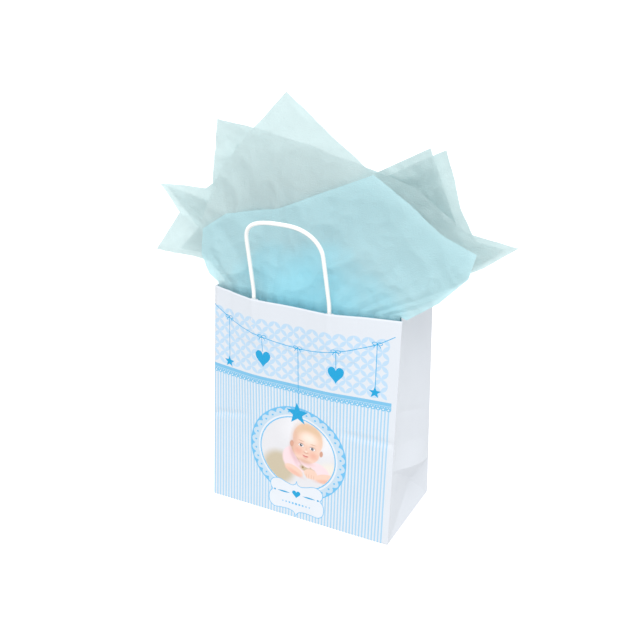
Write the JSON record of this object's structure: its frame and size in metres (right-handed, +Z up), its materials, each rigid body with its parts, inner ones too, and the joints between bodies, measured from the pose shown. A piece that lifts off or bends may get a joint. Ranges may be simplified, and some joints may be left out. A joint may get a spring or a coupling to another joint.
{
  "type": "gift bag",
  "caption": "Flat-bottomed white paper gift bag with twisted-cord loop handles on glued patches and gathered aqua tissue sheets standing in its open mouth.",
  "frame": {"origin": "centre of the bag's flat foot, on the surface it stands on", "axes": "+Z up out of the mouth, -Y out of the broad front panel, +X towards the right gusset as seen from the front"},
  "size_m": [0.371, 0.1319, 0.424],
  "materials": {
    "white_paper": "smooth white kraft, matt",
    "paper_cord": "twisted paper cord, matt",
    "patch_paper": "white kraft, matt",
    "tissue": "thin see-through tissue paper, matt"
  },
  "bodies": {
    "bag": {"paper_bag": "white_paper", "front_cord_end_left": "paper_cord", "front_cord_end_right": "paper_cord", "front_patch_outer": "patch_paper", "front_patch_inner": "patch_paper", "rear_cord_end_left": "paper_cord", "rear_cord_end_right": "paper_cord", "rear_patch_outer": "patch_paper", "rear_patch_inner": "patch_paper"},
    "front_loop": {"front_handle": "paper_cord"},
    "rear_loop": {"rear_handle": "paper_cord"},
    "front_sheet": {"tissue_front": "tissue"},
    "middle_sheet": {"tissue_middle": "tissue"},
    "rear_sheet": {"tissue_rear": "tissue"}
  },
  "joints": [
    {"name": "front_handle_swing", "type": "hinge", "parent": "bag", "child": "front_loop", "pos_m": [0.0058, -0.05451, 0.2425], "axis": [1, 0, 0], "range_deg": [-9, 81]},
    {"name": "rear_handle_swing", "type": "hinge", "parent": "bag", "child": "rear_loop", "pos_m": [-0.0035, 0.04977, 0.2425], "axis": [-1, 0, 0], "range_deg": [-8, 82]},
    {"name": "tissue_front_lift", "type": "slide", "parent": "bag", "child": "front_sheet", "axis": [0, 0, 1], "range_m": [0, 0.32]},
    {"name": "tissue_middle_lift", "type": "slide", "parent": "bag", "child": "middle_sheet", "axis": [0, 0, 1], "range_m": [0, 0.32]},
    {"name": "tissue_rear_lift", "type": "slide", "parent": "bag", "child": "rear_sheet", "axis": [0, 0, 1], "range_m": [0, 0.32]}
  ]
}
